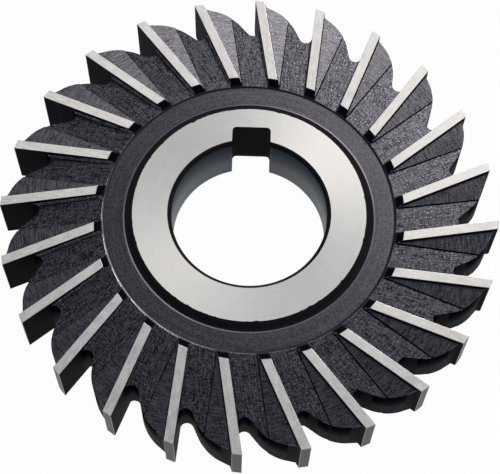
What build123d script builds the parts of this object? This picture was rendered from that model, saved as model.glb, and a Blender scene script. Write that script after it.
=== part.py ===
from build123d import *
from math import cos, radians, sin, sqrt, tan
import os

# Side milling cutter: one hardened steel disc with 24 straight teeth that cut
# on the periphery and on both sides. The origin is at the centre of the bore,
# half way through the disc, +Z is the bore axis and +Y points at the keyway.

# Overall sizes: a 4 x 1/2 x 1-1/4 inch cutter
outside_diameter = 101.6
cutting_width = 12.7
teeth = 24

# Bore and keyway
bore_diameter = 31.75
bore_chamfer = 0.8
keyway_width = 8.0
keyway_across = 35.4
keyway_corner_radius = 0.9

# Hub faces and the turned ring around them
hub_face_diameter = 47.6
hub_rise = 0.3
hub_wall_run = 1.2
hub_foot_radius = 1.0
ring_depth = 1.1
ring_width = 4.9
ring_wall_run = 0.35
ring_step = 0.2
tooth_end_run = 1.4

# Teeth: all have the same rake, and ground lands of one width on three sides
rake_angle = 9.35
land_width = 1.93
land_relief_angle = 5.0

# Gash between two teeth on the periphery
back_step_depth = 1.0
back_step_run = 0.2
back_slope_angle = 23.5
back_flat = 1.9
flank_angle = 25.0
gash_depth = 8.0
gash_root_radius = 1.4

# Gullet between two teeth on each side face
side_step_drop = 0.65
side_step_run = 0.2
side_relief_angle = 8.5
gullet_width = 5.5
gullet_depth = 0.95
gullet_wall_angle = 32.0
gullet_floor_angle = 0.8
gullet_run_out_angle = 2.0
gullet_corner_chamfer = 0.4

# What the cutting shapes reach past the blank, and past their neighbours
blank_allowance = 1.0
tool_clearance = 2.0
lap_angle = 2.0

# Worked out from the sizes above
outside_radius = outside_diameter / 2
half_width = cutting_width / 2
bore_radius = bore_diameter / 2
hub_face_radius = hub_face_diameter / 2
hub_height = half_width + hub_rise
hub_foot_distance = hub_face_radius + hub_wall_run
ring_radius = hub_foot_distance + ring_width
ring_wall_top = ring_radius + ring_wall_run
ring_height = half_width - ring_depth
tooth_foot_height = ring_height + ring_step
tooth_end_radius = ring_wall_top + tooth_end_run
tooth_pitch = 360 / teeth
rake_offset = outside_radius * sin(radians(rake_angle))
land_back_offset = rake_offset + land_width
blank_radius = outside_radius + blank_allowance
clear_radius = blank_radius + tool_clearance
clear_height = hub_height + tool_clearance


def on_lag(radius, lag):
    """Point at a radius, lag degrees clockwise of the first tooth's edge."""
    return Vector(radius * sin(radians(lag)), radius * cos(radians(lag)))


def tooth_axes(lag):
    """Directions along a tooth's edge (outward) and behind it (clockwise)."""
    turn = radians(rake_angle - lag)
    outward = Vector(-sin(turn), cos(turn), 0)
    behind = Vector(cos(turn), sin(turn), 0)
    return outward, behind


def section_plane(lag):
    """Plane across a tooth, outside the blank: x behind the tooth, y up."""
    outward, behind = tooth_axes(lag)
    return Plane(origin=outward * blank_radius, x_dir=behind, z_dir=-outward)


def reach(start, along, other_point, other_along):
    """Distance from start, along a line, to where it crosses another line."""
    return (other_point - start).cross(other_along).Z / along.cross(other_along).Z


# The turned blank, larger than the finished cutter until its teeth are cut
with BuildPart() as blank:
    with BuildSketch(Plane.XZ) as blank_profile:
        with BuildLine():
            Polyline(
                (bore_radius, 0),
                (bore_radius, hub_height - bore_chamfer),
                (bore_radius + bore_chamfer, hub_height),
                (hub_face_radius, hub_height),
                (hub_foot_distance, ring_height),
                (ring_radius, ring_height),
                (ring_wall_top, tooth_foot_height),
                (tooth_end_radius, half_width),
                (blank_radius, half_width),
                (blank_radius, 0),
                close=True,
            )
        make_face()
        hub_foot = (hub_foot_distance, ring_height)
        fillet(blank_profile.vertices().sort_by_distance(hub_foot)[0], radius=hub_foot_radius)
        mirror(about=Plane.XZ)
    revolve(axis=Axis.Z)

# The gash that parts two teeth on the periphery. Its outline runs along the
# land of one tooth and down its back, round the root and out along the next
# tooth's face. The root's round touches that face and the flank of the back.
tip = on_lag(outside_radius, 0)
next_tip = on_lag(outside_radius, tooth_pitch)
outward, behind = tooth_axes(0)
next_outward, next_behind = tooth_axes(tooth_pitch)
land_drop = land_width * tan(radians(rake_angle + land_relief_angle))
land_back = tip + behind * land_width - outward * land_drop
step_foot = land_back + behind * back_step_run - outward * back_step_depth
back_slope = Vector(cos(radians(back_slope_angle)), -sin(radians(back_slope_angle)))
flank = Vector(sin(radians(flank_angle)), -cos(radians(flank_angle)))
flank_normal = Vector(cos(radians(flank_angle)), sin(radians(flank_angle)))
root_centre_radius = outside_radius - gash_depth + gash_root_radius
root_centre_offset = rake_offset - gash_root_radius
root_centre_reach = sqrt(root_centre_radius**2 - root_centre_offset**2)
root_centre = next_outward * root_centre_reach + next_behind * root_centre_offset
flank_foot = root_centre - flank_normal * gash_root_radius
root_corner = flank_foot + flank * reach(flank_foot, flank, next_tip, next_outward)
slope_length = reach(step_foot, back_slope, flank_foot, flank)
back_knee = step_foot + back_slope * slope_length
flank_length = (flank_foot - back_knee).length
half_turn = radians(90 - flank_angle - back_slope_angle) / 2
back_round_radius = (min(slope_length, flank_length) - back_flat) / tan(half_turn)

with BuildPart() as gash:
    with BuildSketch(Plane.XY) as gash_outline:
        with BuildLine():
            Polyline(
                tip,
                land_back,
                step_foot,
                back_knee,
                root_corner,
                next_tip,
                on_lag(clear_radius, tooth_pitch + lap_angle),
                on_lag(clear_radius, -lap_angle),
                close=True,
            )
        make_face()
        corners = gash_outline.vertices()
        fillet(corners.sort_by_distance(back_knee)[0], radius=back_round_radius)
        corners = gash_outline.vertices()
        fillet(corners.sort_by_distance(root_corner)[0], radius=gash_root_radius)
    extrude(amount=clear_height, both=True)

# The gullet in one side face, in two passes: the relief behind the side land,
# and the slot along the next tooth's face, which starts at the ring and gets
# deeper outward. The relief ends at the slot. Then both side faces.
slot_start = sqrt(ring_wall_top**2 - rake_offset**2)
gullet_run = blank_radius - slot_start + tool_clearance
relief_floor = half_width - side_step_drop
relief_foot = land_back_offset + side_step_run
relief_reach = relief_foot + gullet_run
relief_far_floor = relief_floor - gullet_run * tan(radians(side_relief_angle))
relief_top = relief_foot - (clear_height - relief_floor) * side_step_run / side_step_drop
slot_slope = tan(radians(gullet_run_out_angle))
slot_floor = half_width - gullet_depth - slot_slope * (blank_radius - slot_start)
slot_foot = rake_offset - gullet_width
slot_edge = Plane(origin=next_behind * slot_foot, x_dir=next_outward, z_dir=next_behind)
slot_face_floor = slot_floor - gullet_width * tan(radians(gullet_floor_angle))
slot_top = slot_foot - (clear_height - slot_floor) * tan(radians(gullet_wall_angle))

with BuildPart() as gullet:
    with BuildSketch(section_plane(0)):
        with BuildLine():
            Polyline(
                (relief_top, clear_height),
                (relief_foot, relief_floor),
                (relief_reach, relief_far_floor),
                (relief_reach, clear_height),
                close=True,
            )
        make_face()
    extrude(amount=gullet_run)
    split(bisect_by=slot_edge, keep=Keep.BOTTOM)
    with BuildSketch(section_plane(tooth_pitch)) as slot_section:
        with BuildLine():
            Polyline(
                (slot_top, clear_height),
                (slot_foot, slot_floor),
                (rake_offset, slot_face_floor),
                (rake_offset, clear_height),
                close=True,
            )
        make_face()
        face_foot = slot_section.vertices().sort_by(Axis.Y)[0]
        chamfer(face_foot, length=gullet_corner_chamfer)
    extrude(amount=gullet_run, dir=Vector(0, 0, slot_slope) - next_outward)
    mirror(about=Plane.XY)

# The keyway, right through the hub on the +Y side of the bore
with BuildPart() as keyway:
    with BuildSketch(Plane.XY) as keyway_outline:
        with Locations((0, keyway_across - bore_radius)):
            Rectangle(keyway_width, bore_radius, align=(Align.CENTER, Align.MAX))
        floor_corners = keyway_outline.vertices().group_by(Axis.Y)[-1]
        fillet(floor_corners, radius=keyway_corner_radius)
    extrude(amount=clear_height, both=True)

# The cutter: the teeth and the keyway, cut in the blank
with BuildPart() as cutter:
    add(blank.part)
    with PolarLocations(0, teeth):
        add(gash.part, mode=Mode.SUBTRACT)
    with PolarLocations(0, teeth):
        add(gullet.part, mode=Mode.SUBTRACT)
    add(keyway.part, mode=Mode.SUBTRACT)

os.makedirs("parts", exist_ok=True)
cutter.part.label = "side_milling_cutter"
export_step(cutter.part, "parts/side_milling_cutter.step")
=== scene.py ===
"""Side milling cutter: the looks of one hardened steel disc with 24 straight teeth."""

import logging
from collections.abc import Callable
from dataclasses import dataclass, field
from enum import IntEnum
from math import asin, atan2, cos, pi, radians, sin, sqrt, tan

import bmesh
import bpy
import numpy as np
from mathutils import Matrix, Vector

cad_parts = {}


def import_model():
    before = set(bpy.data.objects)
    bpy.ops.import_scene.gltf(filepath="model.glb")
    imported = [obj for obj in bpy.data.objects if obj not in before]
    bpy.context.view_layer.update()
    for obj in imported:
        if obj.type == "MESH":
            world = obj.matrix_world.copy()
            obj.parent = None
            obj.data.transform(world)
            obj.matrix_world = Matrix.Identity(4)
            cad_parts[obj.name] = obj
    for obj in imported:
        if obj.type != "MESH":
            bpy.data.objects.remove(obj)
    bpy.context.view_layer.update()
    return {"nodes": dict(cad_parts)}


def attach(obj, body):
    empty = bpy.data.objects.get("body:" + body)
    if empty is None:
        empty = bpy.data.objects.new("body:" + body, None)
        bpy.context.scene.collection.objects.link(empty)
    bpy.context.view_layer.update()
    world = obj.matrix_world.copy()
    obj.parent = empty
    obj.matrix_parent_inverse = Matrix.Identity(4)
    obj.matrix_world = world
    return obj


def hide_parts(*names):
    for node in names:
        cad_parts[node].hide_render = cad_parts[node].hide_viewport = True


log = logging.getLogger("cutter")

MM = 0.001
NODE = "side_milling_cutter"
UV_MAP = "Marks"
SMALL = 1e-9
AT_CORNER = 1e-6
HALVINGS = 50

Array = np.ndarray
Colour = tuple[float, float, float, float]
Pair = tuple[float, float]
Triple = tuple[float, float, float]


class Finish(IntEnum):
    """The finishes of the cutter, in the order of its material slots."""

    SIDE_LAND = 0
    HUB_FACE = 1
    TOOTH_RELIEF = 2
    GULLET_FLOOR = 3
    TURNED_RING = 4
    BLACK_WALL = 5
    BORE_WALL = 6
    OUTER_LAND = 7
    RUBBED_EDGE = 8
    RING_WALL = 9
    HUB_WALL = 10
    FOOT_LINE = 11


def linear(hex_colour: str) -> Colour:
    """Turns an sRGB hex colour into linear light, by the sRGB standard's curve.

    Args:
        hex_colour: Six hex digits, with or without a leading hash.

    Returns:
        Red, green, blue and an alpha of 1.
    """
    digits = hex_colour.lstrip("#")
    parts = [int(digits[i : i + 2], 16) / 255 for i in (0, 2, 4)]
    light = [c / 12.92 if c <= 0.04045 else ((c + 0.055) / 1.055) ** 2.4 for c in parts]
    return (light[0], light[1], light[2], 1.0)


def node(
    tree: bpy.types.NodeTree, kind: str, settings: dict | None = None, **links: object
) -> bpy.types.Node:
    """Adds a node, sets it up and links it.

    Args:
        tree: Tree to add it to.
        kind: Node type, without its ShaderNode prefix.
        settings: Values for the node's own properties.
        links: Inputs, each a value or an output socket. An input goes by its name,
            with underscores for spaces, or by an i and its number.

    Returns:
        The node.
    """
    made = tree.nodes.new("ShaderNode" + kind)
    for key, value in (settings or {}).items():
        setattr(made, key, value)
    for key, value in links.items():
        number = key[1:] if key[0] == "i" else ""
        socket = made.inputs[int(number) if number.isdigit() else key.replace("_", " ")]
        if isinstance(value, bpy.types.NodeSocket):
            tree.links.new(value, socket)
        else:
            socket.default_value = value
    return made


@dataclass(frozen=True)
class Marks:
    """One set of tool marks: how long each is along the two pattern axes, in mm.

    On the teeth the first axis is across a tooth and the second along its edge. On
    turned faces the first is round the bore and the second is away from it. The
    marks can be turned by some degrees, and weigh more or less than other sets.
    """

    first: float
    second: float
    turn: float = 0.0
    weight: float = 1.0


@dataclass(frozen=True)
class Grit:
    """Even grain mixed in with the streaks: its width in mm and the streaks' share.

    Reach is the part of the noise that is spread from dark to light.
    """

    width: float
    streaks: float = 0.7
    reach: Pair = (0.3, 0.7)


@dataclass(frozen=True)
class Flecks:
    """Small lighter specks where the oxide is thin: width in mm, length in widths.

    Reach is the part of the noise in which they fade in, above its middle of 0.5.
    """

    width: float
    colour: str
    length: float = 2.0
    reach: Pair = (0.645, 0.78)


@dataclass(frozen=True)
class Nicks:
    """Ragged dark bites into the rim of a turned face, at a radius in mm.

    The noise has so many cells in a metre. It is weighed by the depth and added to
    the distance from the bore, and the bites fade in over the reach past the radius.
    """

    radius: float
    per_metre: float = 700.0
    depth: float = 0.9
    reach: Pair = (0.45, 0.5)
    colour: str = "1A1A1C"


@dataclass(frozen=True)
class Steel:
    """One finish of the cutter: its colours, its gloss and its tool marks.

    Contrast is how far the marks' noise goes to either side of its middle, depth
    their depth in mm, grain the anisotropy and lay its direction in degrees.
    """

    name: str
    dark: str
    light: str
    metallic: float
    roughness: Pair
    marks: tuple[Marks, ...]
    contrast: float
    depth: float
    grit: Grit | None = None
    flecks: Flecks | None = None
    nicks: Nicks | None = None
    specular: float = 0.5
    grain: float = 0.0
    lay: float = 0.0
    turned: bool = False
    turned_radius: float = 24.0

    def place(self, tree: bpy.types.NodeTree) -> bpy.types.NodeSocket:
        """Pattern place in millimetres.

        On turned faces it is the direction from the bore, as long as the hub's face
        is wide, and the distance from the bore: round marks have no seam there.

        Args:
            tree: Tree of the material.

        Returns:
            The place, as a vector.
        """
        if not self.turned:
            return node(tree, "UVMap", {"uv_map": UV_MAP}).outputs["UV"]
        times, plus = {"operation": "MULTIPLY"}, {"operation": "ADD"}
        spot = node(tree, "TexCoord").outputs["Object"]
        flat = node(tree, "VectorMath", times, i0=spot, i1=(1 / MM, 1 / MM, 0)).outputs[0]
        radius = node(tree, "VectorMath", {"operation": "LENGTH"}, i0=flat).outputs["Value"]
        way = node(tree, "VectorMath", {"operation": "NORMALIZE"}, i0=flat).outputs[0]
        size = (self.turned_radius, self.turned_radius, 0)
        around = node(tree, "VectorMath", times, i0=way, i1=size).outputs[0]
        away = node(tree, "CombineXYZ", Z=radius).outputs[0]
        return node(tree, "VectorMath", plus, i0=around, i1=away).outputs[0]

    def pattern(
        self, tree: bpy.types.NodeTree, place: bpy.types.NodeSocket
    ) -> bpy.types.NodeSocket:
        """Weighs the sets of marks together into one value from 0 to 1.

        Args:
            tree: Tree of the material.
            place: Pattern place in millimetres.

        Returns:
            The value, dark to light.
        """
        total = sum(mark.weight for mark in self.marks)
        value: object = 0.0
        for mark in self.marks:
            across = mark.first if self.turned else mark.second
            spot = node(
                tree,
                "Mapping",
                {"vector_type": "TEXTURE"},
                Vector=place,
                Rotation=(0, 0, radians(mark.turn)),
                Scale=(mark.first, across, mark.second if self.turned else 1),
            ).outputs[0]
            noise = node(
                tree,
                "TexNoise",
                {"noise_dimensions": "3D" if self.turned else "2D"},
                Vector=spot,
                Scale=1.0,
                Detail=2.0,
                Roughness=0.6,
                Distortion=0.5,
            ).outputs[0]
            share = {"i0": noise, "i1": mark.weight / total, "i2": value}
            value = node(tree, "Math", {"operation": "MULTIPLY_ADD"}, **share).outputs[0]
        reach = {"From_Min": 0.5 - self.contrast, "From_Max": 0.5 + self.contrast}
        return node(tree, "MapRange", Value=value, **reach).outputs[0]

    def colour(
        self,
        tree: bpy.types.NodeTree,
        place: bpy.types.NodeSocket,
        value: bpy.types.NodeSocket,
    ) -> bpy.types.NodeSocket:
        """Mixes dark and light by the marks, then adds grit, flecks and nicks.

        Args:
            tree: Tree of the material.
            place: Pattern place in millimetres.
            value: The marks, from 0 to 1.

        Returns:
            The colour.
        """
        blend = {"data_type": "RGBA"}
        flat = {"noise_dimensions": "2D"}
        if self.grit:
            scale = 1 / self.grit.width
            grains = node(tree, "TexNoise", flat, Vector=place, Scale=scale).outputs[0]
            low, high = self.grit.reach
            spread = node(tree, "MapRange", Value=grains, From_Min=low, From_Max=high).outputs[0]
            share = {"i0": self.grit.streaks, "i2": spread, "i3": value}
            value = node(tree, "Mix", {"data_type": "FLOAT"}, **share).outputs[0]
        tones = {"i6": linear(self.dark), "i7": linear(self.light)}
        colour = node(tree, "Mix", blend, i0=value, **tones).outputs[2]
        if self.flecks:
            size = (self.flecks.width, self.flecks.width * self.flecks.length, 1)
            spot = node(
                tree, "Mapping", {"vector_type": "TEXTURE"}, Vector=place, Scale=size
            ).outputs[0]
            noise = node(tree, "TexNoise", flat, Vector=spot, Scale=1.0, Detail=1.0).outputs[0]
            low, high = self.flecks.reach
            seen = node(tree, "MapRange", Value=noise, From_Min=low, From_Max=high).outputs[0]
            tones = {"i6": colour, "i7": linear(self.flecks.colour)}
            colour = node(tree, "Mix", blend, i0=seen, **tones).outputs[2]
        if self.nicks:
            radius = node(tree, "SeparateXYZ", Vector=place).outputs["Z"]
            spot = node(tree, "TexCoord").outputs["Object"]
            waves = node(tree, "TexNoise", Vector=spot, Scale=self.nicks.per_metre).outputs[0]
            sums = {"i0": waves, "i1": self.nicks.depth, "i2": radius}
            bite = node(tree, "Math", {"operation": "MULTIPLY_ADD"}, **sums).outputs[0]
            low, high = (self.nicks.radius + way for way in self.nicks.reach)
            seen = node(tree, "MapRange", Value=bite, From_Min=low, From_Max=high).outputs[0]
            tones = {"i6": colour, "i7": linear(self.nicks.colour)}
            colour = node(tree, "Mix", blend, i0=seen, **tones).outputs[2]
        return colour

    def material(self) -> bpy.types.Material:
        """Builds the finish.

        Returns:
            The material.
        """
        made = bpy.data.materials.new(self.name)
        made.use_nodes = True
        tree = made.node_tree
        shader = tree.nodes["Principled BSDF"]
        place = self.place(tree)
        value = self.pattern(tree, place)
        low, high = self.roughness
        rough = node(tree, "MapRange", Value=value, To_Min=low, To_Max=high).outputs[0]
        bump = node(tree, "Bump", Height=value, Distance=self.depth * MM, Strength=1.0).outputs[0]
        tree.links.new(self.colour(tree, place, value), shader.inputs["Base Color"])
        tree.links.new(rough, shader.inputs["Roughness"])
        tree.links.new(bump, shader.inputs["Normal"])
        shader.inputs["Metallic"].default_value = self.metallic
        if self.metallic < 1:
            shader.inputs["Specular IOR Level"].default_value = self.specular
        if self.grain:
            shader.inputs["Anisotropic"].default_value = self.grain
            shader.inputs["Anisotropic Rotation"].default_value = self.lay / 360
            settings = {"direction_type": "UV_MAP", "uv_map": UV_MAP}
            tangent = node(tree, "Tangent", settings).outputs[0]
            tree.links.new(tangent, shader.inputs["Tangent"])
        return made


# Real grinding lines, tool marks and oxide grain are a few hundredths of a
# millimetre wide, too fine to show, so all are drawn as coarse as they need to be
FINISHES = {
    # Bare tool steel, ground along the edge: pale, warm and satin
    Finish.SIDE_LAND: Steel(
        "ground_tool_steel_land", "A6A3A0", "CFCDCA", 1.0, (0.55, 0.63),
        (Marks(0.22, 2.5), Marks(0.3, 0.3, 0.0, 0.7), Marks(2.0, 3.0, 0.0, 0.6)),
        contrast=0.16, depth=0.002, grain=0.35, lay=-55.0,
    ),
    # Bare tool steel, faced in rings: it shines in two opposite fans
    Finish.HUB_FACE: Steel(
        "faced_tool_steel_hub", "B2B0AD", "C1BFBC", 1.0, (0.52, 0.58),
        (Marks(10.0, 0.3), Marks(4.0, 3.0, 0.0, 0.8)),
        contrast=0.25, depth=0.001, grain=0.5, lay=-8.0, nicks=Nicks(23.82), turned=True,
    ),
    # Black oxide over a ground relief: a soft grey sheen with fine diagonal lines
    Finish.TOOTH_RELIEF: Steel(
        "black_oxide_ground_relief", "222328", "5A595C", 1.0, (0.36, 0.43),
        (Marks(2.6, 0.25, -14.0), Marks(0.3, 2.0, 5.0, 0.4)),
        contrast=0.1, depth=0.006, grit=Grit(0.35), flecks=Flecks(0.25, "66666F"),
    ),
    # Black oxide over a milled floor: streaks along the slot and cutter marks across
    Finish.GULLET_FLOOR: Steel(
        "black_oxide_milled_floor", "0E0F13", "4C4C50", 1.0, (0.34, 0.42),
        (Marks(0.26, 2.6, 3.0), Marks(1.8, 0.26, -5.0, 0.8)),
        contrast=0.065, depth=0.004, grit=Grit(0.35), flecks=Flecks(0.25, "74747E"),
    ),
    # Black oxide over a turned ring: an even dark grey with a faint violet cast
    Finish.TURNED_RING: Steel(
        "black_oxide_turned_ring", "302F33", "4D4C50", 1.0, (0.34, 0.39),
        (Marks(14.0, 0.4, 0.0, 0.4), Marks(0.35, 0.35)),
        contrast=0.15, depth=0.001, turned=True,
    ),
    # Black oxide deep in the steps and gashes: near black, hardly any gloss, a painted shade over
    # the oxide's own dark tone
    Finish.BLACK_WALL: Steel(
        "black_oxide_wall_painted_shade", "050810", "090D14", 0.0, (0.5, 0.6),
        (Marks(0.3, 3.0), Marks(0.3, 0.3, 0.0, 0.6)),
        contrast=0.3, depth=0.001, specular=0.012,
    ),
    # Bore, ground and blued by the oxide bath: smooth slate blue
    Finish.BORE_WALL: Steel(
        "blued_ground_bore", "262D34", "303941", 1.0, (0.42, 0.5),
        (Marks(6.0, 0.3), Marks(4.0, 4.0)),
        contrast=0.25, depth=0.001,
    ),
    # Outer lands, ground along the edge and left grey by the bath
    Finish.OUTER_LAND: Steel(
        "ground_outer_land", "2A2A2D", "3C3C3F", 1.0, (0.42, 0.52),
        (Marks(0.2, 6.0), Marks(0.5, 0.5, 0.0, 0.4)),
        contrast=0.2, depth=0.002,
    ),
    # The ring's low outer wall and a strip of the ring's floor along it: smoother oxide,
    # which shines where it faces the lamp, darker than the ring as painted shade
    Finish.RING_WALL: Steel(
        "black_oxide_ring_wall_painted_shade", "2C2B2E", "363539", 1.0, (0.22, 0.28),
        (Marks(8.0, 0.3), Marks(0.3, 0.3, 0.0, 0.5)),
        contrast=0.2, depth=0.001,
    ),
    # Black oxide on the hub's turned wall and the keyway: dark with hardly any gloss, but not as
    # deep, a painted shade over the oxide's own dark tone
    Finish.HUB_WALL: Steel(
        "black_oxide_turned_wall_painted_shade", "1B191B", "252225", 0.0, (0.5, 0.6),
        (Marks(8.0, 0.3), Marks(0.3, 0.3, 0.0, 0.5)),
        contrast=0.3, depth=0.001, specular=0.012,
    ),
    # Painted highlight at the hub's foot: a lighter flat strip, a thin line in two fans that its
    # grain gives under the lamp
    Finish.FOOT_LINE: Steel(
        "painted_foot_highlight", "605F63", "747377", 1.0, (0.42, 0.5),
        (Marks(10.0, 0.3), Marks(0.3, 0.3, 0.0, 0.5)),
        contrast=0.2, depth=0.001, grain=0.8, lay=82.0,
    ),
    # Edges where handling has rubbed the oxide off: thin lines of bare steel
    Finish.RUBBED_EDGE: Steel(
        "rubbed_steel_edge", "646266", "949296", 1.0, (0.18, 0.25),
        (Marks(1.2, 1.2), Marks(0.3, 0.3)),
        contrast=0.2, depth=0.001,
    ),
}


def halved(sign: Callable[[Array], Array], low: Array, high: Array) -> Array:
    """Finds where a function changes sign, by halving the interval again and again.

    Args:
        sign: Function that is negative at low and positive at high.
        low: Lower ends of the intervals.
        high: Upper ends of the intervals.

    Returns:
        The places of the changes, one for each interval.
    """
    low, high = np.array(low, float), np.array(high, float)
    for _ in range(HALVINGS):
        middle = (low + high) / 2
        below = sign(middle) < 0
        low = np.where(below, middle, low)
        high = np.where(below, high, middle)
    return (low + high) / 2


def spin(points: Array, turn: float) -> Array:
    """Turns points clockwise about the bore: x to x cos + y sin, y to y cos - x sin.

    Args:
        points: Points, with three coordinates last.
        turn: Angle in degrees.

    Returns:
        The turned points, in the same shape.
    """
    c, s = cos(radians(turn)), sin(radians(turn))
    x, y, z = np.moveaxis(points, -1, 0)
    return np.stack([x * c + y * s, y * c - x * s, z], -1)


def on_circle(radius: Array, lag: Array) -> Array:
    """Plan place at a radius, lag radians clockwise of +Y: its sine and its cosine."""
    return np.stack([radius * np.sin(lag), radius * np.cos(lag)], -1)


def raised(plan: Array, height: Array) -> Array:
    """Adds heights to plan places, as their third coordinate."""
    return np.concatenate([plan, np.broadcast_to(height, plan.shape[:-1])[..., None]], -1)


def paired(first: Array, second: Array) -> Array:
    """Makes places of two coordinates, each a number, a row or a grid."""
    return np.stack(np.broadcast_arrays(first, second), -1)


def travelled(path: Array) -> Array:
    """Length of a plan path up to each of its points: the sum of its steps."""
    steps = np.linalg.norm(np.diff(path, axis=0), axis=-1)
    return np.append(0, np.cumsum(steps))


@dataclass
class Shell:
    """Faces gathered patch by patch, each corner with its place and pattern place.

    Patches share no vertices until make() merges them, so two patches that meet have
    to put their corners in the same places along the line where they meet. Corners
    nearer than the weld become one. An edge counts as sharp above the sharp angle,
    in degrees, and is left alone if it is not longer than the shortest one.
    """

    corners: list[Array] = field(default_factory=list)
    patterns: list[Array] = field(default_factory=list)
    counts: list[Array] = field(default_factory=list)
    finishes: list[Array] = field(default_factory=list)
    smooth: list[Array] = field(default_factory=list)
    weld: float = 0.004
    sharp_angle: float = 25.0
    shortest: float = 0.3

    def keep(
        self, corners: Array, pattern: Array, counts: Array, finish: Finish, rounded: bool
    ) -> None:
        """Stores the faces of a patch.

        Args:
            corners: Corners of one face after another, in millimetres.
            pattern: Pattern places of the corners.
            counts: Number of corners of each face.
            finish: Finish of the faces.
            rounded: Whether they are shaded as a curved surface.
        """
        self.corners.append(corners)
        self.patterns.append(pattern)
        self.counts.append(counts)
        self.finishes.append(np.full(len(counts), int(finish)))
        self.smooth.append(np.full(len(counts), rounded))

    def grid(self, points: Array, pattern: Array, finish: Finish, rounded: bool) -> None:
        """Adds a surface of quads whose corners are points[i, j].

        Args:
            points: Grid of points in millimetres, of shape rows, columns, 3.
            pattern: Grid of pattern places in millimetres, of shape rows, columns, 2.
            finish: Finish of the surface.
            rounded: Whether the surface is shaded as a curved one.
        """
        quads = [
            np.stack([g[:-1, :-1], g[1:, :-1], g[1:, 1:], g[:-1, 1:]], 2).reshape(-1, g.shape[-1])
            for g in (points, pattern)
        ]
        number = (points.shape[0] - 1) * (points.shape[1] - 1)
        self.keep(*quads, np.full(number, 4), finish, rounded)

    def polygon(self, points: Array, pattern: Array, finish: Finish) -> None:
        """Adds one flat face with the given outline and its pattern places."""
        self.keep(points, pattern, np.array([len(points)]), finish, False)

    def zipped(
        self,
        outer: Array,
        outer_lag: Array,
        inner: Array,
        inner_lag: Array,
        radius: float,
        finish: Finish,
    ) -> None:
        """Fills the flat band between two closed rings of points with triangles.

        All points are taken in the order of their lags. Each one, once passed, makes
        a triangle with the last point passed on either ring.

        Args:
            outer: Points of the outer ring, its first point again at the end.
            outer_lag: Their lags in radians.
            inner: Points of the inner ring, its first point again at the end.
            inner_lag: Their lags in radians.
            radius: Radius that turns lags into lengths in the pattern.
            finish: Finish of the band.
        """
        rings = [np.column_stack(ring) for ring in ((outer, outer_lag), (inner, inner_lag))]
        order = np.argsort(np.concatenate([outer_lag[1:], inner_lag[1:]]), kind="stable")
        on_outer = np.repeat([1, 0], [len(outer) - 1, len(inner) - 1])[order]
        first = np.cumsum(on_outer) - on_outer
        second = np.cumsum(1 - on_outer) - (1 - on_outer)
        passed = rings[0][first + on_outer], rings[1][second + 1 - on_outer]
        third = np.where(on_outer[:, None] == 1, *passed)
        corners = np.stack([rings[0][first], rings[1][second], third], 1).reshape(-1, 4)
        pattern = paired(np.hypot(*corners.T[:2]), corners[:, 3] * radius)
        self.keep(corners[:, :3], pattern, np.full(len(on_outer), 3), finish, False)

    def repeat(self, times: int, pattern_step: float) -> "Shell":
        """Copies the shell round the bore axis, a whole turn in equal steps.

        Args:
            times: Number of copies.
            pattern_step: What the pattern moves from one copy to the next, in
                millimetres, so that no two teeth carry the same marks.

        Returns:
            A new shell with all the copies.
        """
        turns = [lambda p, k=k: spin(p, 360 / times * k) for k in range(times)]
        shifts = [lambda q, k=k: q + (0, pattern_step * k) for k in range(times)]
        return self.joined(list(zip(turns, shifts)))

    def mirrored(self, pattern_step: float) -> "Shell":
        """Adds the other side face: z to minus z.

        Args:
            pattern_step: What the pattern moves from one side to the other.

        Returns:
            A new shell with both sides.
        """
        same = (lambda p: p, lambda q: q)
        other = (lambda p: p * (1, 1, -1), lambda q: q + (pattern_step, 0))
        return self.joined([same, other])

    def joined(self, moves: list[tuple[Callable, Callable]]) -> "Shell":
        """Puts moved copies of the shell together.

        Args:
            moves: For each copy, what moves its corners and what moves its pattern.

        Returns:
            A new shell with all the copies.
        """
        corners = np.concatenate(self.corners)
        patterns = np.concatenate(self.patterns)
        return Shell(
            [place(corners) for place, _ in moves],
            [shift(patterns) for _, shift in moves],
            self.counts * len(moves),
            self.finishes * len(moves),
            self.smooth * len(moves),
        )

    def add(self, other: "Shell") -> None:
        """Takes over all patches of another shell."""
        for name in ("corners", "patterns", "counts", "finishes", "smooth"):
            getattr(self, name).extend(getattr(other, name))

    def rubbed(self, edge: bmesh.types.BMEdge) -> bool:
        """Tells whether handling rubs the oxide off an edge.

        It does on a long sharp edge that stands out, but not on the hub's walls, nor
        between two flat black faces, as down in the steps and gashes.

        Args:
            edge: Edge of the merged mesh.

        Returns:
            Whether it is rubbed.
        """
        black = (Finish.BLACK_WALL, Finish.TOOTH_RELIEF)
        faces = edge.link_faces
        if edge.calc_face_angle_signed(0) <= radians(self.sharp_angle):
            return False
        if edge.calc_length() <= self.shortest * MM:
            return False
        if any(face.material_index == Finish.HUB_WALL for face in faces):
            return False
        return not all(face.material_index in black and not face.smooth for face in faces)

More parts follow.
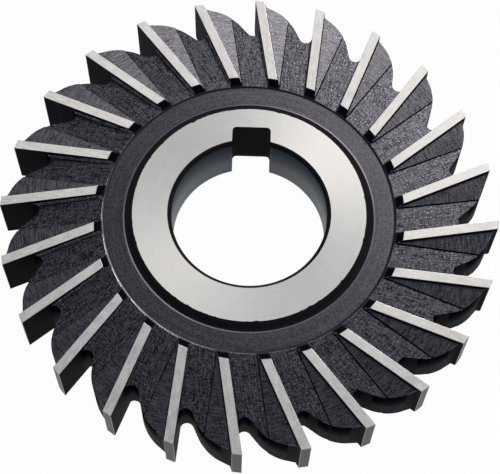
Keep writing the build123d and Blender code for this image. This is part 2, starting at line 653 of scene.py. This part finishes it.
    def make(self, name: str) -> bpy.types.Object:
        """Makes the closed mesh object: merges corners, then turns all faces outward.

        Args:
            name: Name of the object.

        Returns:
            The object, at the origin, with its pattern places in a UV map.
        """
        corners = np.concatenate(self.corners) * MM
        counts = np.concatenate(self.counts)
        starts = np.concatenate([[0], np.cumsum(counts)[:-1]])
        mesh = bpy.data.meshes.new(name)
        mesh.vertices.add(len(corners))
        mesh.vertices.foreach_set("co", corners.ravel())
        mesh.loops.add(len(corners))
        mesh.loops.foreach_set("vertex_index", np.arange(len(corners)))
        mesh.polygons.add(len(counts))
        mesh.polygons.foreach_set("loop_start", starts)
        mesh.polygons.foreach_set("material_index", np.concatenate(self.finishes))
        mesh.polygons.foreach_set("use_smooth", np.concatenate(self.smooth))
        layer = mesh.uv_layers.new(name=UV_MAP)
        layer.uv.foreach_set("vector", np.concatenate(self.patterns).ravel())
        mesh.update(calc_edges=True)
        work = bmesh.new()
        work.from_mesh(mesh)
        bmesh.ops.remove_doubles(work, verts=work.verts, dist=self.weld * MM)
        bmesh.ops.recalc_face_normals(work, faces=work.faces)
        open_edges = sum(len(edge.link_faces) != 2 for edge in work.edges)
        weight = work.edges.layers.float.new("bevel_weight_edge")
        for edge in work.edges:
            edge[weight] = float(self.rubbed(edge))
        work.to_mesh(mesh)
        work.free()
        log.info("%s: %d faces, %d open edges", name, len(mesh.polygons), open_edges)
        made = bpy.data.objects.new(name, mesh)
        bpy.context.scene.collection.objects.link(made)
        return made


@dataclass
class Disc:
    """The turned sizes of the cutter, in millimetres.

    The band of the hub's face, the line at its foot and the line at the ring's outer
    wall are no steps in the steel, but parts of a face with their own finish or grid.
    The line at the foot is a painted highlight, and the line at the wall a painted shade.
    """

    half_width: float = 6.35
    hub_height: float = 6.65
    bore_radius: float = 15.875
    bore_chamfer: float = 0.8
    keyway_half: float = 4.0
    keyway_floor: float = 19.525
    keyway_round: float = 0.9
    hub_face_radius: float = 23.8
    band_radius: float = 23.5
    hub_foot_distance: float = 25.0
    hub_foot_round: float = 1.0
    # Width of the painted highlight, a lighter strip of the ring's floor at the hub's foot
    foot_highlight: float = 0.28
    # Width of the painted shade, a strip of the ring's floor inside its outer wall
    wall_line: float = 0.35
    ring_height: float = 5.25
    ring_radius: float = 29.9
    wall_radius: float = 30.25
    wall_height: float = 5.45
    end_radius: float = 31.65
    bore_steps: int = 216
    foot_steps: int = 7
    keyway_steps: int = 7
    face_rows: int = 4

    def wall(self, radius: Array) -> Array:
        """Height of the ring's wall: a straight line from ring floor to wall top."""
        rise = (self.wall_height - self.ring_height) / (self.wall_radius - self.ring_radius)
        return self.ring_height + (radius - self.ring_radius) * rise

    def wall_at(self, height: Array) -> Array:
        """Radius of the ring's wall at a height: the same line, the other way round."""
        run = (self.wall_radius - self.ring_radius) / (self.wall_height - self.ring_height)
        return self.ring_radius + (height - self.ring_height) * run

    def tooth_end(self, height: Array) -> Array:
        """Radius of the cone that ends the teeth: a straight line up to the land."""
        run = (self.end_radius - self.wall_radius) / (self.half_width - self.wall_height)
        return self.wall_radius + (height - self.wall_height) * run

    def hub_profile(self) -> Array:
        """Radius and height of the hub's wall, from the face's edge down to the ring.

        The wall is a straight line that ends in an arc, which touches both the wall
        and the ring's floor.

        Returns:
            Points of the profile, of shape steps, 2.
        """
        run = self.hub_foot_distance - self.hub_face_radius
        drop = atan2(self.hub_height - self.ring_height, run)
        reach = self.hub_foot_round * tan(drop / 2)
        centre = (self.hub_foot_distance + reach, self.ring_height + self.hub_foot_round)
        arc = centre - on_circle(self.hub_foot_round, np.linspace(drop, 0, self.foot_steps))
        return np.concatenate([[(self.hub_face_radius, self.hub_height)], arc])

    def keyed(self, radius: float) -> Array:
        """Plan of a bore of the given radius with the keyway, clockwise from +Y.

        Outside the keyway it is the circle. In it, it runs up one wall, round the
        corner arc and along the floor, and the same again on the other side.

        Args:
            radius: Radius of the bore there.

        Returns:
            Closed outline, x and y, without its first point again at the end.
        """
        half, floor, corner = self.keyway_half, self.keyway_floor, self.keyway_round
        turn = np.linspace(0, pi / 2, self.keyway_steps)
        arc = (half - corner, floor - corner) + on_circle(corner, turn)
        start = asin(half / radius)
        circle = on_circle(radius, np.linspace(start, 2 * pi - start, self.bore_steps))
        return np.concatenate([[(0, floor)], arc, circle, arc[::-1] * (-1, 1)])

    def shell(self, lags: Array) -> Shell:
        """Builds the bore, the keyway and the hub of one side.

        Args:
            lags: Angles in degrees at which the ring's floor has its corners.

        Returns:
            The upper half, down to the middle plane.
        """
        shell = Shell()

        # The hub's wall, the painted highlight at its foot, the ring, and the painted shade
        # inside the ring's wall, a strip in the wall's darker finish
        profile = self.hub_profile()
        line = profile[-1, 0] + self.foot_highlight
        rims = [line, self.ring_radius - self.wall_line, self.ring_radius]
        ring = np.concatenate([profile, paired(rims, self.ring_height)])
        turn = np.radians(np.append(lags, lags[0] + 360))
        radius, height = ring[:, :1], ring[:, 1:]
        points = raised(on_circle(radius, turn), height)
        pattern = paired(turn * self.wall_radius, radius)
        for rows, finish, rounded in (
            (slice(0, -3), Finish.HUB_WALL, True),
            (slice(-4, -2), Finish.FOOT_LINE, True),
            (slice(-3, -1), Finish.TURNED_RING, False),
            (slice(-2, None), Finish.RING_WALL, True),
        ):
            shell.grid(points[rows], pattern[rows], finish, rounded)

        # The face, on rays from the bore's axis, and the band that joins it to the wall
        rim = self.keyed(self.bore_radius + self.bore_chamfer)
        ray = np.unwrap(np.arctan2(rim[:, 0], rim[:, 1]))
        ray = np.append(ray, ray[0] + 2 * pi)
        inner = np.hypot(*rim.T)
        inner = np.append(inner, inner[0])
        share = np.linspace(0, 1, self.face_rows)[:, None]
        radius = inner * (1 - share) + self.band_radius * share
        face = raised(on_circle(radius, ray), self.hub_height)
        shell.grid(face, paired(radius, ray * self.band_radius), Finish.HUB_FACE, False)
        around = np.radians(lags) % (2 * pi)
        order = np.argsort(around)
        around = np.append(around[order], around[order[0]] + 2 * pi)
        outer = points[0, np.append(order, order[0])]
        shell.zipped(outer, around, face[-1], ray, self.band_radius, Finish.HUB_FACE)

        # The chamfer and the bore below it, in three parts: the two halves of the
        # keyway, one at either end of the outline, and the round wall between them
        bore = self.keyed(self.bore_radius)
        plans = np.stack([rim, bore, bore])
        plans = np.concatenate([plans, plans[:, :1]], 1)
        levels = np.array([[self.hub_height], [self.hub_height - self.bore_chamfer], [0.0]])
        walls = raised(plans, levels)
        places = paired(travelled(plans[1]), walls[..., 2])
        key = self.keyway_steps + 1
        for columns, finish in (
            (slice(0, key + 1), Finish.HUB_WALL),
            (slice(key, -key), Finish.BORE_WALL),
            (slice(-key - 1, None), Finish.HUB_WALL),
        ):
            shell.grid(walls[:2, columns], places[:2, columns], Finish.HUB_WALL, True)
            shell.grid(walls[1:, columns], places[1:, columns], finish, True)
        return shell


@dataclass
class ToothSpace:
    """One tooth and the space behind it, up to the face of the next tooth.

    Places are given in the axes of a tooth: along is the distance outward along its
    edge, behind is the distance behind the bore axis, square to the tooth's face.
    Each seek field holds the ends of the interval in which a crossing is looked for,
    in radians round the bore for the wall and the chamfer, else in millimetres.
    """

    disc: Disc
    teeth: int = 24
    outside_radius: float = 50.8
    rake_angle: float = 9.35
    land_width: float = 1.93
    land_relief_angle: float = 5.0
    back_step_depth: float = 1.0
    back_step_run: float = 0.2
    back_slope_angle: float = 23.5
    back_flat: float = 1.9
    flank_angle: float = 25.0
    gash_depth: float = 8.0
    gash_root_radius: float = 1.4
    step_drop: float = 0.65
    step_run: float = 0.2
    relief_angle: float = 8.5
    gullet_width: float = 5.5
    gullet_depth: float = 0.95
    wall_angle: float = 32.0
    floor_angle: float = 0.8
    run_out_angle: float = 2.0
    corner_chamfer: float = 0.4
    back_steps: int = 25
    root_steps: int = 19
    end_rows: int = 7
    end_columns: int = 6
    floor_columns: int = 10
    wall_rows: int = 3
    wall_seek: Pair = (-radians(3), radians(1))
    chamfer_seek: Pair = (-radians(2), radians(4))
    apex_seek: Pair = (-2.0, 4.0)
    ring_seek: float = 1.0

    def __post_init__(self) -> None:
        """Works out the places that several surfaces share."""
        self.pitch = 360 / self.teeth
        self.face = self.outside_radius * sin(radians(self.rake_angle))
        self.land_back = self.face + self.land_width
        self.relief_foot = self.land_back + self.step_run
        self.relief_top = self.disc.half_width - self.step_drop
        self.slot_foot = self.face - self.gullet_width
        self.slot_start = sqrt(self.disc.wall_radius**2 - self.face**2)
        self.chamfer_foot = self.face - self.corner_chamfer * cos(radians(self.floor_angle))

    def spot(self, along: Array, behind: Array, tooth: int = 0) -> Array:
        """Plan place of a point given in a tooth's axes: outward along + behind.

        Args:
            along: Distances along the tooth's edge.
            behind: Distances behind the bore axis.
            tooth: 0 for this tooth, 1 for the next.

        Returns:
            x and y, last.
        """
        turn = radians(self.rake_angle - tooth * self.pitch)
        x = -sin(turn) * along + cos(turn) * behind
        y = cos(turn) * along + sin(turn) * behind
        return paired(x, y)

    def axes(self, plan: Array, tooth: int = 0) -> tuple[Array, Array]:
        """Distances of plan places along and behind a tooth's axes.

        Args:
            plan: Places with x and y first in their last axis.
            tooth: 0 for this tooth, 1 for the next.

        Returns:
            Along and behind.
        """
        turn = radians(self.rake_angle - tooth * self.pitch)
        x, y = plan[..., 0], plan[..., 1]
        return -sin(turn) * x + cos(turn) * y, cos(turn) * x + sin(turn) * y

    def floor(self, plan: Array) -> Array:
        """Height of the slot's floor: falls outward and towards the next tooth's face.

        Args:
            plan: Places with x and y first in their last axis.

        Returns:
            The heights.
        """
        along, behind = self.axes(plan, 1)
        start = self.disc.half_width - self.gullet_depth
        outward = (along - self.slot_start) * tan(radians(self.run_out_angle))
        return start - outward - (behind - self.slot_foot) * tan(radians(self.floor_angle))

    def slot_wall(self, plan: Array) -> Array:
        """Height of the slot's sloping wall: rises from the foot at the wall angle.

        Args:
            plan: Places with x and y first in their last axis.

        Returns:
            The heights.
        """
        along, behind = self.axes(plan, 1)
        foot = self.floor(self.spot(along, self.slot_foot, 1))
        return foot + (self.slot_foot - behind) / tan(radians(self.wall_angle))

    def chamfer(self, plan: Array) -> Array:
        """Height of the slot's chamfer, a straight rise from floor to face.

        Args:
            plan: Places with x and y first in their last axis.

        Returns:
            The heights.
        """
        along, behind = self.axes(plan, 1)
        foot = self.floor(self.spot(along, self.chamfer_foot, 1))
        top = self.floor(self.spot(along, self.face, 1)) + self.corner_chamfer
        share = (behind - self.chamfer_foot) / (self.face - self.chamfer_foot)
        return foot + (top - foot) * share

    def relief(self, plan: Array) -> Array:
        """Height of the side relief: falls behind the land at the relief angle."""
        _, behind = self.axes(plan)
        return self.relief_top - (behind - self.relief_foot) * tan(radians(self.relief_angle))

    def step(self, height: Array) -> Array:
        """Distance of the step behind the land at a height: a straight line."""
        return self.land_back + (self.disc.half_width - height) * self.step_run / self.step_drop

    def lag(self, radius: Array, behind: Array) -> Array:
        """Lag on a circle of a line behind this tooth's axis: arc sine, less the rake."""
        return np.arcsin(behind / radius) - radians(self.rake_angle)

    def crossing(self, radius: Array, height: Array) -> Array:
        """Finds where the slot's wall, which falls clockwise, passes through circles.

        Args:
            radius: Radii of the circles.
            height: Heights of the circles.

        Returns:
            Lags in radians, one for each circle.
        """
        middle = np.arcsin(self.slot_foot / radius) + radians(self.pitch - self.rake_angle)
        before, after = self.wall_seek
        return halved(
            lambda lag: height - self.slot_wall(on_circle(radius, lag)),
            middle + before,
            middle + after,
        )

    def outline(self) -> Array:
        """Plan of the gash from the tooth's tip to the root's end on the next face.

        Straight land, step and slope, an arc that touches slope and flank, then the
        root's arc, which touches the flank and the next tooth's face.

        Returns:
            Points of the outline, x and y.
        """
        tip = self.spot(self.outside_radius * cos(radians(self.rake_angle)), self.face)
        out, back = self.spot(1, 0), self.spot(0, 1)
        drop = self.land_width * tan(radians(self.rake_angle + self.land_relief_angle))
        land_end = tip + back * self.land_width - out * drop
        step_foot = land_end + back * self.back_step_run - out * self.back_step_depth
        slope_turn, flank_turn = radians(self.back_slope_angle), radians(self.flank_angle)
        slope = np.array([cos(slope_turn), -sin(slope_turn)])
        flank = np.array([sin(flank_turn), -cos(flank_turn)])
        outside = np.array([cos(flank_turn), sin(flank_turn)])
        root_radius = self.outside_radius - self.gash_depth + self.gash_root_radius
        root_behind = self.face - self.gash_root_radius
        root = self.spot(sqrt(root_radius**2 - root_behind**2), root_behind, 1)
        flank_foot = root - outside * self.gash_root_radius
        gap = flank_foot - step_foot
        across = slope[0] * flank[1] - slope[1] * flank[0]
        slope_length = (gap[0] * flank[1] - gap[1] * flank[0]) / across
        knee = step_foot + slope * slope_length
        tangent = slope_length - self.back_flat
        round_radius = tangent / tan((pi / 2 - flank_turn - slope_turn) / 2)
        above = np.array([sin(slope_turn), cos(slope_turn)])
        centre = knee - slope * tangent - above * round_radius
        back_turns = np.linspace(slope_turn, pi / 2 - flank_turn, self.back_steps)
        back_round = centre + on_circle(round_radius, back_turns)
        last_turn = radians(self.pitch - self.rake_angle) - 3 * pi / 2
        root_turns = np.linspace(-pi / 2 - flank_turn, last_turn, self.root_steps)
        root_round = root + on_circle(self.gash_root_radius, root_turns)
        return np.concatenate([[tip, land_end, step_foot], back_round, root_round])

    def split(self, outline: Array, side: Callable[[Array], Array]) -> tuple[Array, int]:
        """Puts a point in the outline where a function of the place turns positive.

        Args:
            outline: Points of the outline.
            side: Function that is negative before the point and positive after it.

        Returns:
            The outline with the point, and its index.
        """
        value = side(outline)
        after = int(np.argmax(value > 0))
        share = value[after - 1] / (value[after - 1] - value[after])
        point = outline[after - 1] + (outline[after] - outline[after - 1]) * share
        if share > 1 - AT_CORNER:
            return outline, after
        return np.insert(outline, after, point, 0), after

    def shell(self) -> tuple[Shell, Array]:
        """Builds the upper half of the sector, and lists where it meets the ring.

        Returns:
            The sector's faces above the middle plane, and the lags in degrees of its
            corners along the ring's floor, without the last, which the next one has.
        """
        disc, shell = self.disc, Shell()
        top, low = disc.half_width, disc.wall_height

        # The gash's outline, with the heights at which the side's surfaces reach it
        outline = self.outline()
        tail, at_wall = self.split(outline[2:], lambda p: self.relief(p) - self.slot_wall(p))
        tail, at_foot = self.split(tail, lambda p: self.axes(p, 1)[1] - self.slot_foot)
        tail, at_chamfer = self.split(tail, lambda p: self.axes(p, 1)[1] - self.chamfer_foot)
        heights = [
            self.relief(tail[: at_wall + 1]),
            self.slot_wall(tail[at_wall + 1 : at_foot + 1]),
            self.floor(tail[at_foot + 1 : at_chamfer + 1]),
            self.chamfer(tail[at_chamfer + 1 :]),
        ]
        tail = raised(tail, np.concatenate(heights))
        crest = raised(outline[:2], top)

        # The cone that ends the tooth, row by row from the ring's wall to the land
        face_low = self.face_foot(low, top)
        corner = self.corner_height(low, top)
        rows = np.concatenate([np.linspace(low, top, self.end_rows), [face_low, corner]])
        rows = np.unique(np.round(rows, 9))
        radius = disc.tooth_end(rows)
        chamfer_lag = self.chamfer_lag(radius, rows)
        left = np.where(rows < face_low - SMALL, chamfer_lag, self.lag(radius, self.face))
        step_lag = self.lag(radius, self.step(rows))
        right = np.where(rows < corner - SMALL, self.crossing(radius, rows), step_lag)
        share = np.linspace(0, 1, self.end_columns)
        lag = left[:, None] + (right - left)[:, None] * share
        end = raised(on_circle(radius[:, None], lag), rows[:, None])
        shell.grid(end, self.marks(end), Finish.BLACK_WALL, True)
        face_row = int(np.argmin(np.abs(rows - face_low)))
        corner_row = int(np.argmin(np.abs(rows - corner)))

        # The land, the step behind it and the relief
        land = np.concatenate([crest, end[-1, ::-1]])
        shell.polygon(land, self.marks(land), Finish.SIDE_LAND)
        apex = self.apex()
        step = np.concatenate([crest[1:], tail[:1], apex[None], end[corner_row:, -1]])
        shell.polygon(step, self.marks(step), Finish.BLACK_WALL)
        relief = np.concatenate([tail[: at_wall + 1], apex[None]])
        shell.polygon(relief, self.marks(relief), Finish.TOOTH_RELIEF)

        # Where the slot meets the ring's wall
        behind = np.linspace(self.slot_foot, self.chamfer_foot, self.floor_columns)
        floor_line = self.ring_meeting(behind)
        rows = np.linspace(floor_line[0, 2], low, self.wall_rows)[::-1]
        radius = disc.wall_at(rows)
        wall_line = raised(on_circle(radius, self.crossing(radius, rows)), rows)
        wall_line[-1] = floor_line[0]
        rows = np.linspace(floor_line[-1, 2], low, self.wall_rows)
        radius = disc.wall_at(rows)
        lag = self.chamfer_lag(radius, rows) + radians(self.pitch)
        chamfer_line = raised(on_circle(radius, lag), rows)
        chamfer_line[0] = floor_line[-1]

        # The slot's wall, its floor and its chamfer
        cone_side = end[1 : corner_row + 1, -1]
        wall = [tail[at_wall : at_foot + 1], wall_line[::-1], cone_side, apex[None]]
        wall = np.concatenate(wall)
        shell.polygon(wall, self.marks(wall, 1), Finish.BLACK_WALL)
        floor = np.concatenate([tail[at_foot : at_chamfer + 1], floor_line[::-1]])
        shell.polygon(floor, self.marks(floor, 1), Finish.GULLET_FLOOR)
        next_end = spin(end[:, 0], self.pitch)
        bevel = [tail[at_chamfer:], next_end[face_row:0:-1], chamfer_line[::-1]]
        bevel = np.concatenate(bevel)
        shell.polygon(bevel, self.marks(bevel, 1), Finish.GULLET_FLOOR)

        # The next tooth's face: a strip over the slot, and the part over the gash
        next_tip = spin(crest[0], self.pitch)
        root_end = tail[-1]
        strip = np.concatenate([[root_end, next_tip], next_end[face_row:][::-1]])
        shell.polygon(strip, self.face_marks(strip), Finish.BLACK_WALL)
        foot = np.array([root_end, next_tip]) * (1, 1, 0)
        lower = np.concatenate([foot, [next_tip, root_end]])
        shell.polygon(lower, self.face_marks(lower), Finish.BLACK_WALL)

        # The walls of the gash, down to the middle plane
        rim = np.concatenate([crest, tail])
        walls = np.stack([rim, rim * (1, 1, 0)])
        places = paired(travelled(rim[:, :2]), walls[..., 2])
        for columns, finish, rounded in (
            (slice(0, 2), Finish.OUTER_LAND, False),
            (slice(1, 3), Finish.BLACK_WALL, False),
            (slice(2, None), Finish.BLACK_WALL, True),
        ):
            shell.grid(walls[:, columns], places[:, columns], finish, rounded)

        # The ring's wall, from its floor to whatever meets it above, in a darker finish that
        # paints shade on it
        brim = np.concatenate([end[0], wall_line[1:], floor_line[1:], chamfer_line[1:]])
        lags = np.arctan2(brim[:, 0], brim[:, 1])
        base = raised(on_circle(disc.ring_radius, lags), disc.ring_height)
        walls = np.stack([base, brim])
        away = np.hypot(walls[..., 0], walls[..., 1])
        places = paired(lags * disc.ring_radius, away)
        shell.grid(walls, places, Finish.RING_WALL, True)
        return shell, np.degrees(lags[:-1])

    def marks(self, points: Array, tooth: int = 0) -> Array:
        """Pattern places on the side: behind and along a tooth's axes."""
        along, behind = self.axes(points, tooth)
        return paired(behind, along)

    def face_marks(self, points: Array) -> Array:
        """Pattern places on the next tooth's face: along its edge, and up."""
        along, _ = self.axes(points, 1)
        return paired(along, points[..., 2])

    def chamfer_lag(self, radius: Array, height: Array) -> Array:
        """Finds where the chamfer before this tooth's face passes through circles.

        Args:
            radius: Radii of the circles.
            height: Heights of the circles.

        Returns:
            Lags in radians, one for each circle.
        """
        pitch, face = radians(self.pitch), self.lag(radius, self.face)
        before, after = self.chamfer_seek
        return halved(
            lambda lag: self.chamfer(on_circle(radius, lag + pitch)) - height,
            face + before,
            face + after,
        )

    def face_foot(self, low: float, high: float) -> float:
        """Finds where the chamfer, the tooth's face and its end cone meet.

        Args:
            low: A height below the meeting.
            high: A height above it.

        Returns:
            The height.
        """

        def over(height: Array) -> Array:
            """Height on the cone's line on the face, less that of the chamfer."""
            along = np.sqrt(self.disc.tooth_end(height) ** 2 - self.face**2)
            return height - self.chamfer(self.spot(along, self.face, 1))

        return float(halved(over, low, high))

    def corner_height(self, low: float, high: float) -> float:
        """Finds where the slot's wall, the step and the tooth's end cone meet.

        Args:
            low: A height below the meeting.
            high: A height above it.

        Returns:
            The height.
        """

        def over(height: Array) -> Array:
            """Height of the slot's wall, less that on the cone's line on the step."""
            radius = self.disc.tooth_end(height)
            return self.slot_wall(on_circle(radius, self.lag(radius, self.step(height)))) - height

        return float(halved(over, low, high))

    def apex(self) -> Array:
        """Point where the step's foot meets the slot's wall: the relief's inner end.

        Returns:
            The point, x, y and z.
        """

        def over(along: Array) -> Array:
            """Height of the slot's wall over the step's foot."""
            return self.slot_wall(self.spot(along, self.relief_foot)) - self.relief_top

        before, after = self.apex_seek
        along = float(halved(over, self.slot_start + before, self.slot_start + after))
        return raised(self.spot(along, self.relief_foot), self.relief_top)

    def ring_meeting(self, behind: Array) -> Array:
        """Points where the slot's floor meets the ring's wall.

        Args:
            behind: Distances behind the bore axis, in the next tooth's axes.

        Returns:
            The points, x, y and z.
        """

        def plan(radius: Array) -> Array:
            """Places at the given radii on the lines behind the axis."""
            return self.spot(np.sqrt(radius**2 - behind**2), behind, 1)

        start = np.full(len(behind), self.disc.ring_radius)
        radius = halved(
            lambda radius: self.disc.wall(radius) - self.floor(plan(radius)),
            start,
            start + self.ring_seek,
        )
        return raised(plan(radius), self.disc.wall(radius))


@dataclass
class Cutter:
    """The whole cutter: the disc's turned part and its teeth, as one closed piece.

    The pattern and side steps move the marks from tooth to tooth and from side to
    side. The rubbed width is that of the broken edges. All are in millimetres.
    """

    disc: Disc = field(default_factory=Disc)
    pattern_step: float = 60.0
    side_step: float = 1700.0
    rubbed_width: float = 0.05
    rubbed_rows: int = 2
    corner_weld: float = 0.003

    def build(self) -> bpy.types.Object:
        """Builds the closed mesh of both sides, and dresses it.

        Returns:
            The cutter's object.
        """
        space = ToothSpace(self.disc)
        sector, lags = space.shell()
        whole = sector.repeat(space.teeth, self.pattern_step)
        every = (lags[None] + np.arange(space.teeth)[:, None] * space.pitch).ravel()
        whole.add(self.disc.shell(every))
        cutter = whole.mirrored(self.side_step).make("cutter")
        self.round_edges(cutter)
        self.dress(cutter)
        return cutter

    def round_edges(self, cutter: bpy.types.Object) -> None:
        """Breaks the long sharp edges, then closes up the corners where they meet.

        Args:
            cutter: The cutter's object.
        """
        rubbed = cutter.modifiers.new("rubbed_edges", "BEVEL")
        rubbed.limit_method = "WEIGHT"
        rubbed.width = self.rubbed_width * MM
        rubbed.segments = self.rubbed_rows
        rubbed.use_clamp_overlap = False
        rubbed.material = Finish.RUBBED_EDGE
        weld = cutter.modifiers.new("closed_corners", "WELD")
        weld.merge_threshold = self.corner_weld * MM

    def dress(self, cutter: bpy.types.Object) -> None:
        """Gives the cutter its finishes and ties it to the CAD part.

        Args:
            cutter: The cutter's object.
        """
        for finish in Finish:
            cutter.data.materials.append(FINISHES[finish].material())
        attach(cutter, "root")
        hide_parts(NODE)


@dataclass
class Studio:
    """Camera, lamp, floor and world.

    The camera's focal length is in pixels of the photograph, its place and the
    floor's height in millimetres, and the lamp's size and distance in metres. The
    wall top and the height that the ceiling starts from are sines of the height.
    """

    focal: float = 1505.05
    photo_width: float = 500.0
    sensor: float = 36.0
    clip: Pair = (0.01, 10.0)
    place: Triple = (-0.0396, -129.705, 283.660)
    right: Triple = (0.9995678, 0.02635772, 0.01301878)
    up: Triple = (-0.02937692, 0.9121818, 0.40873141)
    back: Triple = (-0.00110226, -0.4089372, 0.91256186)
    floor_height: float = -6.65
    floor_half: float = 1.5
    paper_tone: str = "F4F4F4"
    paper_white: float = 0.98
    key_way: Triple = (0.29, 0.62, 0.73)
    key_distance: float = 1.0
    key_size: float = 0.35
    key_power: float = 6.2
    key_tint: str = "FFFCF8"
    wall_top: float = 0.35
    ceiling_from: float = 0.7
    ceiling: float = 0.38
    ceiling_tint: str = "CCDFFF"
    fill: float = 0.35

    def camera(self) -> None:
        """Sets the camera where the photograph was taken from."""
        data = bpy.data.cameras.new("Camera")
        data.sensor_fit = "HORIZONTAL"
        data.sensor_width = self.sensor
        data.lens = self.focal * self.sensor / self.photo_width
        data.clip_start, data.clip_end = self.clip
        camera = bpy.data.objects.new("Camera", data)
        axes = Matrix((self.right, self.up, self.back)).transposed().to_4x4()
        camera.matrix_world = Matrix.Translation(Vector(self.place) * MM) @ axes
        bpy.context.scene.collection.objects.link(camera)
        bpy.context.scene.camera = camera

    def lamp(self) -> None:
        """Hangs the key lamp, a square softbox that faces the cutter."""
        data = bpy.data.lights.new("key_softbox", "AREA")
        data.shape = "SQUARE"
        data.size = self.key_size
        data.energy = self.key_power
        data.color = linear(self.key_tint)[:3]
        lamp = bpy.data.objects.new("key_softbox", data)
        toward = Vector(self.key_way).normalized()
        turn = toward.to_track_quat("Z", "Y").to_matrix().to_4x4()
        lamp.matrix_world = Matrix.Translation(toward * self.key_distance) @ turn
        bpy.context.scene.collection.objects.link(lamp)

    def paper(self) -> bpy.types.Material:
        """White floor: mostly plain white to the camera, but it keeps the shadow.

        Returns:
            The material.
        """
        made = bpy.data.materials.new("white_paper")
        made.use_nodes = True
        tree = made.node_tree
        tree.nodes.clear()
        matt = node(tree, "BsdfDiffuse", Color=linear(self.paper_tone)).outputs[0]
        plain = node(tree, "Emission", Color=(1, 1, 1, 1), Strength=1.0).outputs[0]
        share = {"i0": self.direct(tree), "i1": self.paper_white}
        seen = node(tree, "Math", {"operation": "MULTIPLY"}, **share).outputs[0]
        mixed = node(tree, "MixShader", i0=seen, i1=matt, i2=plain).outputs[0]
        node(tree, "OutputMaterial", Surface=mixed)
        return made

    def direct(self, tree: bpy.types.NodeTree) -> bpy.types.NodeSocket:
        """Tells whether a ray comes from the camera or off a glossy or clear surface.

        Args:
            tree: Tree to add the nodes to.

        Returns:
            1 for such a ray, else 0.
        """
        path = node(tree, "LightPath").outputs
        either = {"operation": "MAXIMUM"}
        clear = path["Is Transmission Ray"]
        gloss = node(tree, "Math", either, i0=path["Is Glossy Ray"], i1=clear).outputs[0]
        return node(tree, "Math", either, i0=path["Is Camera Ray"], i1=gloss).outputs[0]

    def world(self) -> None:
        """Makes the room: white near the horizon, dimmer overhead, soft on matt faces."""
        made = bpy.data.worlds.new("studio_room")
        bpy.context.scene.world = made
        made.use_nodes = True
        tree = made.node_tree
        tree.nodes.clear()
        way = node(tree, "TexCoord").outputs["Generated"]
        height = node(tree, "SeparateXYZ", Vector=way).outputs["Z"]
        level = node(
            tree,
            "MapRange",
            {"interpolation_type": "SMOOTHSTEP"},
            Value=height,
            From_Min=self.wall_top,
            From_Max=self.ceiling_from,
            To_Min=1.0,
            To_Max=self.ceiling,
        ).outputs[0]
        levels = {"i0": self.direct(tree), "i2": self.fill, "i3": level}
        strength = node(tree, "Mix", {"data_type": "FLOAT"}, **levels).outputs[0]
        tones = {"i6": linear(self.ceiling_tint), "i7": (1, 1, 1, 1)}
        tint = node(tree, "Mix", {"data_type": "RGBA"}, i0=level, **tones).outputs[2]
        background = node(tree, "Background", Color=tint, Strength=strength).outputs[0]
        node(tree, "OutputWorld", Surface=background)

    def build(self) -> bpy.types.Object:
        """Sets up everything around the cutter.

        Returns:
            The floor's object.
        """
        self.camera()
        self.lamp()
        corners = np.array([(-1, -1), (1, -1), (1, 1), (-1, 1)]) * self.floor_half
        points = raised(corners, self.floor_height * MM)
        mesh = bpy.data.meshes.new("floor")
        mesh.from_pydata(points.tolist(), [], [(0, 1, 2, 3)])
        floor = bpy.data.objects.new("floor", mesh)
        bpy.context.scene.collection.objects.link(floor)
        mesh.materials.append(self.paper())
        self.world()
        return floor


def main() -> None:
    """Builds the cutter and the studio."""
    logging.basicConfig(level=logging.INFO, format="%(message)s")
    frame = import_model()
    log.info("nodes: %s", sorted(frame["nodes"]))
    cutter = Cutter().build()
    log.info("%s: %d finishes", cutter.name, len(cutter.data.materials))
    floor = Studio().build()
    log.info("%s: stage", floor.name)
    bpy.context.scene.view_settings.view_transform = "Standard"


if __name__ == "__main__":
    main()
